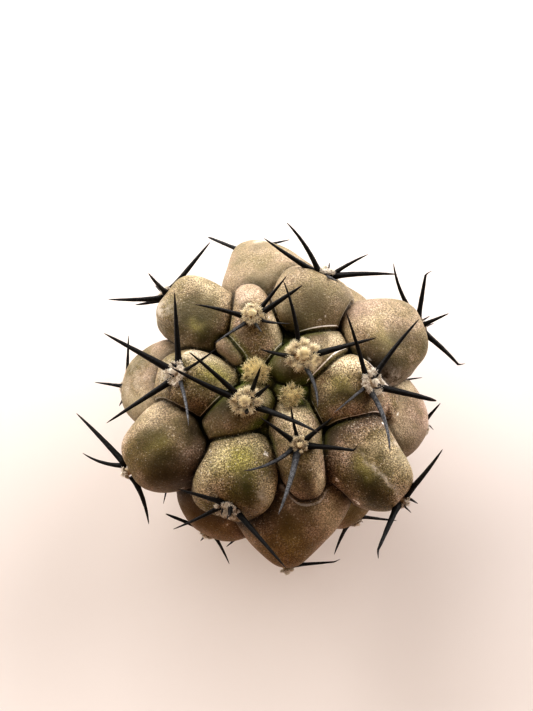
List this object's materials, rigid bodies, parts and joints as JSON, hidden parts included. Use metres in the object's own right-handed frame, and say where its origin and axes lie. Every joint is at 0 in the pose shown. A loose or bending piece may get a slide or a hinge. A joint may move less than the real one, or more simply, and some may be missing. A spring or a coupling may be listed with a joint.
{
  "type": "copiapoa cactus",
  "caption": "Small round copiapoa cactus head with swollen tubercles, tufts of cream wool and stiff black spines, resting on its flat corky base.",
  "frame": {"origin": "centre of the flat spot under the corky base", "axes": "+Z along the growing axis towards the apex; X and Y level, with -Y towards the side that the picture shows nearest"},
  "size_m": [0.0618, 0.0572, 0.0445],
  "materials": {
    "skin": "matt grey-olive skin with a mealy bloom",
    "spine": "satin black, horny",
    "wool": "dull cream felt"
  },
  "bodies": {
    "root": {"spines_10a": "spine", "spines_10b": "spine", "spines_11a": "spine", "spines_11b": "spine", "spines_12a": "spine", "spines_12b": "spine", "spines_1a": "spine", "spines_1b": "spine", "spines_2a": "spine", "spines_2b": "spine", "spines_3a": "spine", "spines_3b": "spine", "spines_4a": "spine", "spines_4b": "spine", "spines_5a": "spine", "spines_5b": "spine", "spines_6a": "spine", "spines_6b": "spine", "spines_7a": "spine", "spines_7b": "spine", "spines_8a": "spine", "spines_8b": "spine", "spines_9a": "spine", "spines_9b": "spine", "stem": "skin", "wool_0a": "wool", "wool_0b": "wool", "wool_10a": "wool", "wool_10b": "wool", "wool_11a": "wool", "wool_11b": "wool", "wool_12a": "wool", "wool_12b": "wool", "wool_1a": "wool", "wool_1b": "wool", "wool_2a": "wool", "wool_2b": "wool", "wool_3a": "wool", "wool_3b": "wool", "wool_4a": "wool", "wool_4b": "wool", "wool_5a": "wool", "wool_5b": "wool", "wool_6a": "wool", "wool_6b": "wool", "wool_7a": "wool", "wool_7b": "wool", "wool_8a": "wool", "wool_8b": "wool", "wool_9a": "wool", "wool_9b": "wool"}
  },
  "joints": []
}
